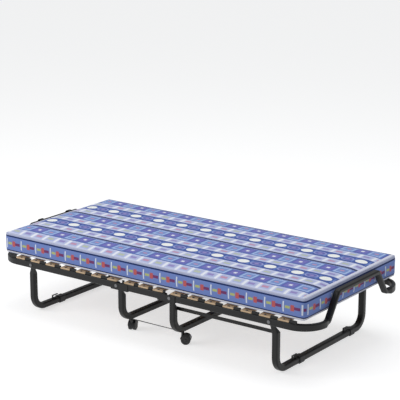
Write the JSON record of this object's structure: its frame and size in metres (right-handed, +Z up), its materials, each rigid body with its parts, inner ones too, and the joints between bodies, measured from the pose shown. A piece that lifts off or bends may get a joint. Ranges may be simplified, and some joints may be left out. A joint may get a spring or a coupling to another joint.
{
  "type": "folding cot",
  "caption": "Folding guest cot: bent-tube frame with slatted base, fold-up end panels, self-standing end legs, castered centre section and a patterned mattress.",
  "frame": {"origin": "on the floor, under the middle of the cot", "axes": "+X along the cot's length towards the head end, +Y across the cot to its far side, +Z up"},
  "size_m": [2, 0.904, 0.427],
  "materials": {
    "frame_steel": "semi-gloss charcoal-black powder coat",
    "beech_slats": "clear-lacquered bent beech plywood",
    "mattress_cover": "woven cotton ticking in blue, lilac and white bands",
    "caster_housing": "black, slightly glossy",
    "caster_tread": "black nylon",
    "fasteners": "zinc-plated, dull",
    "moulded_feet": "black moulded plastic",
    "clips": "black moulded plastic"
  },
  "bodies": {
    "centre": {"caster_sockets": "frame_steel", "centre_leg_bolts": "fasteners", "centre_leg_foot": "frame_steel", "centre_leg_head": "frame_steel", "centre_rail_far": "frame_steel", "centre_rail_near": "frame_steel", "centre_slat_1": "beech_slats", "centre_slat_2": "beech_slats", "centre_slat_3": "beech_slats", "centre_slat_rivets": "fasteners", "hinge_bracket_foot_far": "frame_steel", "hinge_bracket_foot_near": "frame_steel", "hinge_bracket_head_far": "frame_steel", "hinge_bracket_head_near": "frame_steel", "hinge_pins": "fasteners", "link_pivots": "fasteners", "mattress_middle": "mattress_cover", "tie_rods": "fasteners"},
    "head_panel": {"head_frame": "frame_steel", "head_leg_pivots": "fasteners", "head_slat_1": "beech_slats", "head_slat_2": "beech_slats", "head_slat_3": "beech_slats", "head_slat_4": "beech_slats", "head_slat_5": "beech_slats", "head_slat_6": "beech_slats", "head_slat_7": "beech_slats", "head_slat_rivets": "fasteners", "mattress_head": "mattress_cover"},
    "foot_panel": {"foot_frame": "frame_steel", "foot_leg_pivots": "fasteners", "foot_slat_1": "beech_slats", "foot_slat_2": "beech_slats", "foot_slat_3": "beech_slats", "foot_slat_4": "beech_slats", "foot_slat_5": "beech_slats", "foot_slat_6": "beech_slats", "foot_slat_7": "beech_slats", "foot_slat_rivets": "fasteners", "mattress_foot": "mattress_cover"},
    "head_leg": {"head_leg": "frame_steel", "head_leg_feet": "moulded_feet"},
    "foot_leg": {"foot_leg": "frame_steel", "foot_leg_feet": "moulded_feet"},
    "head_link": {"head_link": "frame_steel"},
    "foot_link": {"foot_link": "frame_steel"},
    "clip_near": {"closing_clip_near": "clips"},
    "clip_far": {"closing_clip_far": "clips"},
    "swivel_head_near": {"caster_fork_head_near": "caster_housing", "caster_axle_head_near": "fasteners"},
    "wheel_head_near": {"caster_wheels_head_near": "caster_tread"},
    "swivel_foot_near": {"caster_fork_foot_near": "caster_housing", "caster_axle_foot_near": "fasteners"},
    "wheel_foot_near": {"caster_wheels_foot_near": "caster_tread"},
    "swivel_head_far": {"caster_fork_head_far": "caster_housing", "caster_axle_head_far": "fasteners"},
    "wheel_head_far": {"caster_wheels_head_far": "caster_tread"},
    "swivel_foot_far": {"caster_fork_foot_far": "caster_housing", "caster_axle_foot_far": "fasteners"},
    "wheel_foot_far": {"caster_wheels_foot_far": "caster_tread"}
  },
  "joints": [
    {"name": "head_fold", "type": "hinge", "parent": "centre", "child": "head_panel", "pos_m": [0.17, 0, 0.275], "axis": [0, -1, 0], "range_deg": [0, 90], "deforming": ["mattress_middle"]},
    {"name": "foot_fold", "type": "hinge", "parent": "centre", "child": "foot_panel", "pos_m": [-0.17, 0, 0.275], "axis": [0, 1, 0], "range_deg": [0, 90]},
    {"name": "head_leg_fold", "type": "hinge", "parent": "head_panel", "child": "head_leg", "pos_m": [0.759, 0, 0.275], "axis": [0, 1, 0], "range_deg": [0, 90]},
    {"name": "foot_leg_fold", "type": "hinge", "parent": "foot_panel", "child": "foot_leg", "pos_m": [-0.759, 0, 0.275], "axis": [0, -1, 0], "range_deg": [0, 90]},
    {"name": "head_link_swing", "type": "hinge", "parent": "centre", "child": "head_link", "pos_m": [0.161, -0.381, 0.205], "axis": [0, -1, 0], "range_deg": [0, 90]},
    {"name": "foot_link_swing", "type": "hinge", "parent": "centre", "child": "foot_link", "pos_m": [-0.161, 0.381, 0.205], "axis": [0, 1, 0], "range_deg": [0, 90]},
    {"name": "swivel_head_near", "type": "hinge", "parent": "centre", "child": "swivel_head_near", "pos_m": [0.165, -0.33, 0.06], "axis": [0, 0, 1], "continuous": true},
    {"name": "roll_head_near", "type": "hinge", "parent": "swivel_head_near", "child": "wheel_head_near", "pos_m": [0.17886, -0.322, 0.025], "axis": [-0.5, 0.866, 0], "continuous": true},
    {"name": "swivel_foot_near", "type": "hinge", "parent": "centre", "child": "swivel_foot_near", "pos_m": [-0.165, -0.33, 0.06], "axis": [0, 0, 1], "continuous": true},
    {"name": "roll_foot_near", "type": "hinge", "parent": "swivel_foot_near", "child": "wheel_foot_near", "pos_m": [-0.17047, -0.31496, 0.025], "axis": [-0.9397, -0.342, 0], "continuous": true},
    {"name": "swivel_head_far", "type": "hinge", "parent": "centre", "child": "swivel_head_far", "pos_m": [0.165, 0.33, 0.06], "axis": [0, 0, 1], "continuous": true},
    {"name": "roll_head_far", "type": "hinge", "parent": "swivel_head_far", "child": "wheel_head_far", "pos_m": [0.15114, 0.322, 0.025], "axis": [0.5, -0.866, 0], "continuous": true},
    {"name": "swivel_foot_far", "type": "hinge", "parent": "centre", "child": "swivel_foot_far", "pos_m": [-0.165, 0.33, 0.06], "axis": [0, 0, 1], "continuous": true},
    {"name": "roll_foot_far", "type": "hinge", "parent": "swivel_foot_far", "child": "wheel_foot_far", "pos_m": [-0.157, 0.34386, 0.025], "axis": [-0.866, 0.5, 0], "continuous": true},
    {"name": "clip_turn_near", "type": "hinge", "parent": "foot_panel", "child": "clip_near", "pos_m": [-0.9785, -0.115, 0.401], "axis": [0, 1, 0], "range_deg": [0, 180]},
    {"name": "clip_turn_far", "type": "hinge", "parent": "foot_panel", "child": "clip_far", "pos_m": [-0.9785, 0.115, 0.401], "axis": [0, 1, 0], "range_deg": [0, 180]}
  ],
  "couplings": [
    {"joint": "head_leg_fold", "follows": "head_fold", "ratio": 1},
    {"joint": "head_link_swing", "follows": "head_fold", "ratio": 1},
    {"joint": "foot_leg_fold", "follows": "foot_fold", "ratio": 1},
    {"joint": "foot_link_swing", "follows": "foot_fold", "ratio": 1}
  ]
}
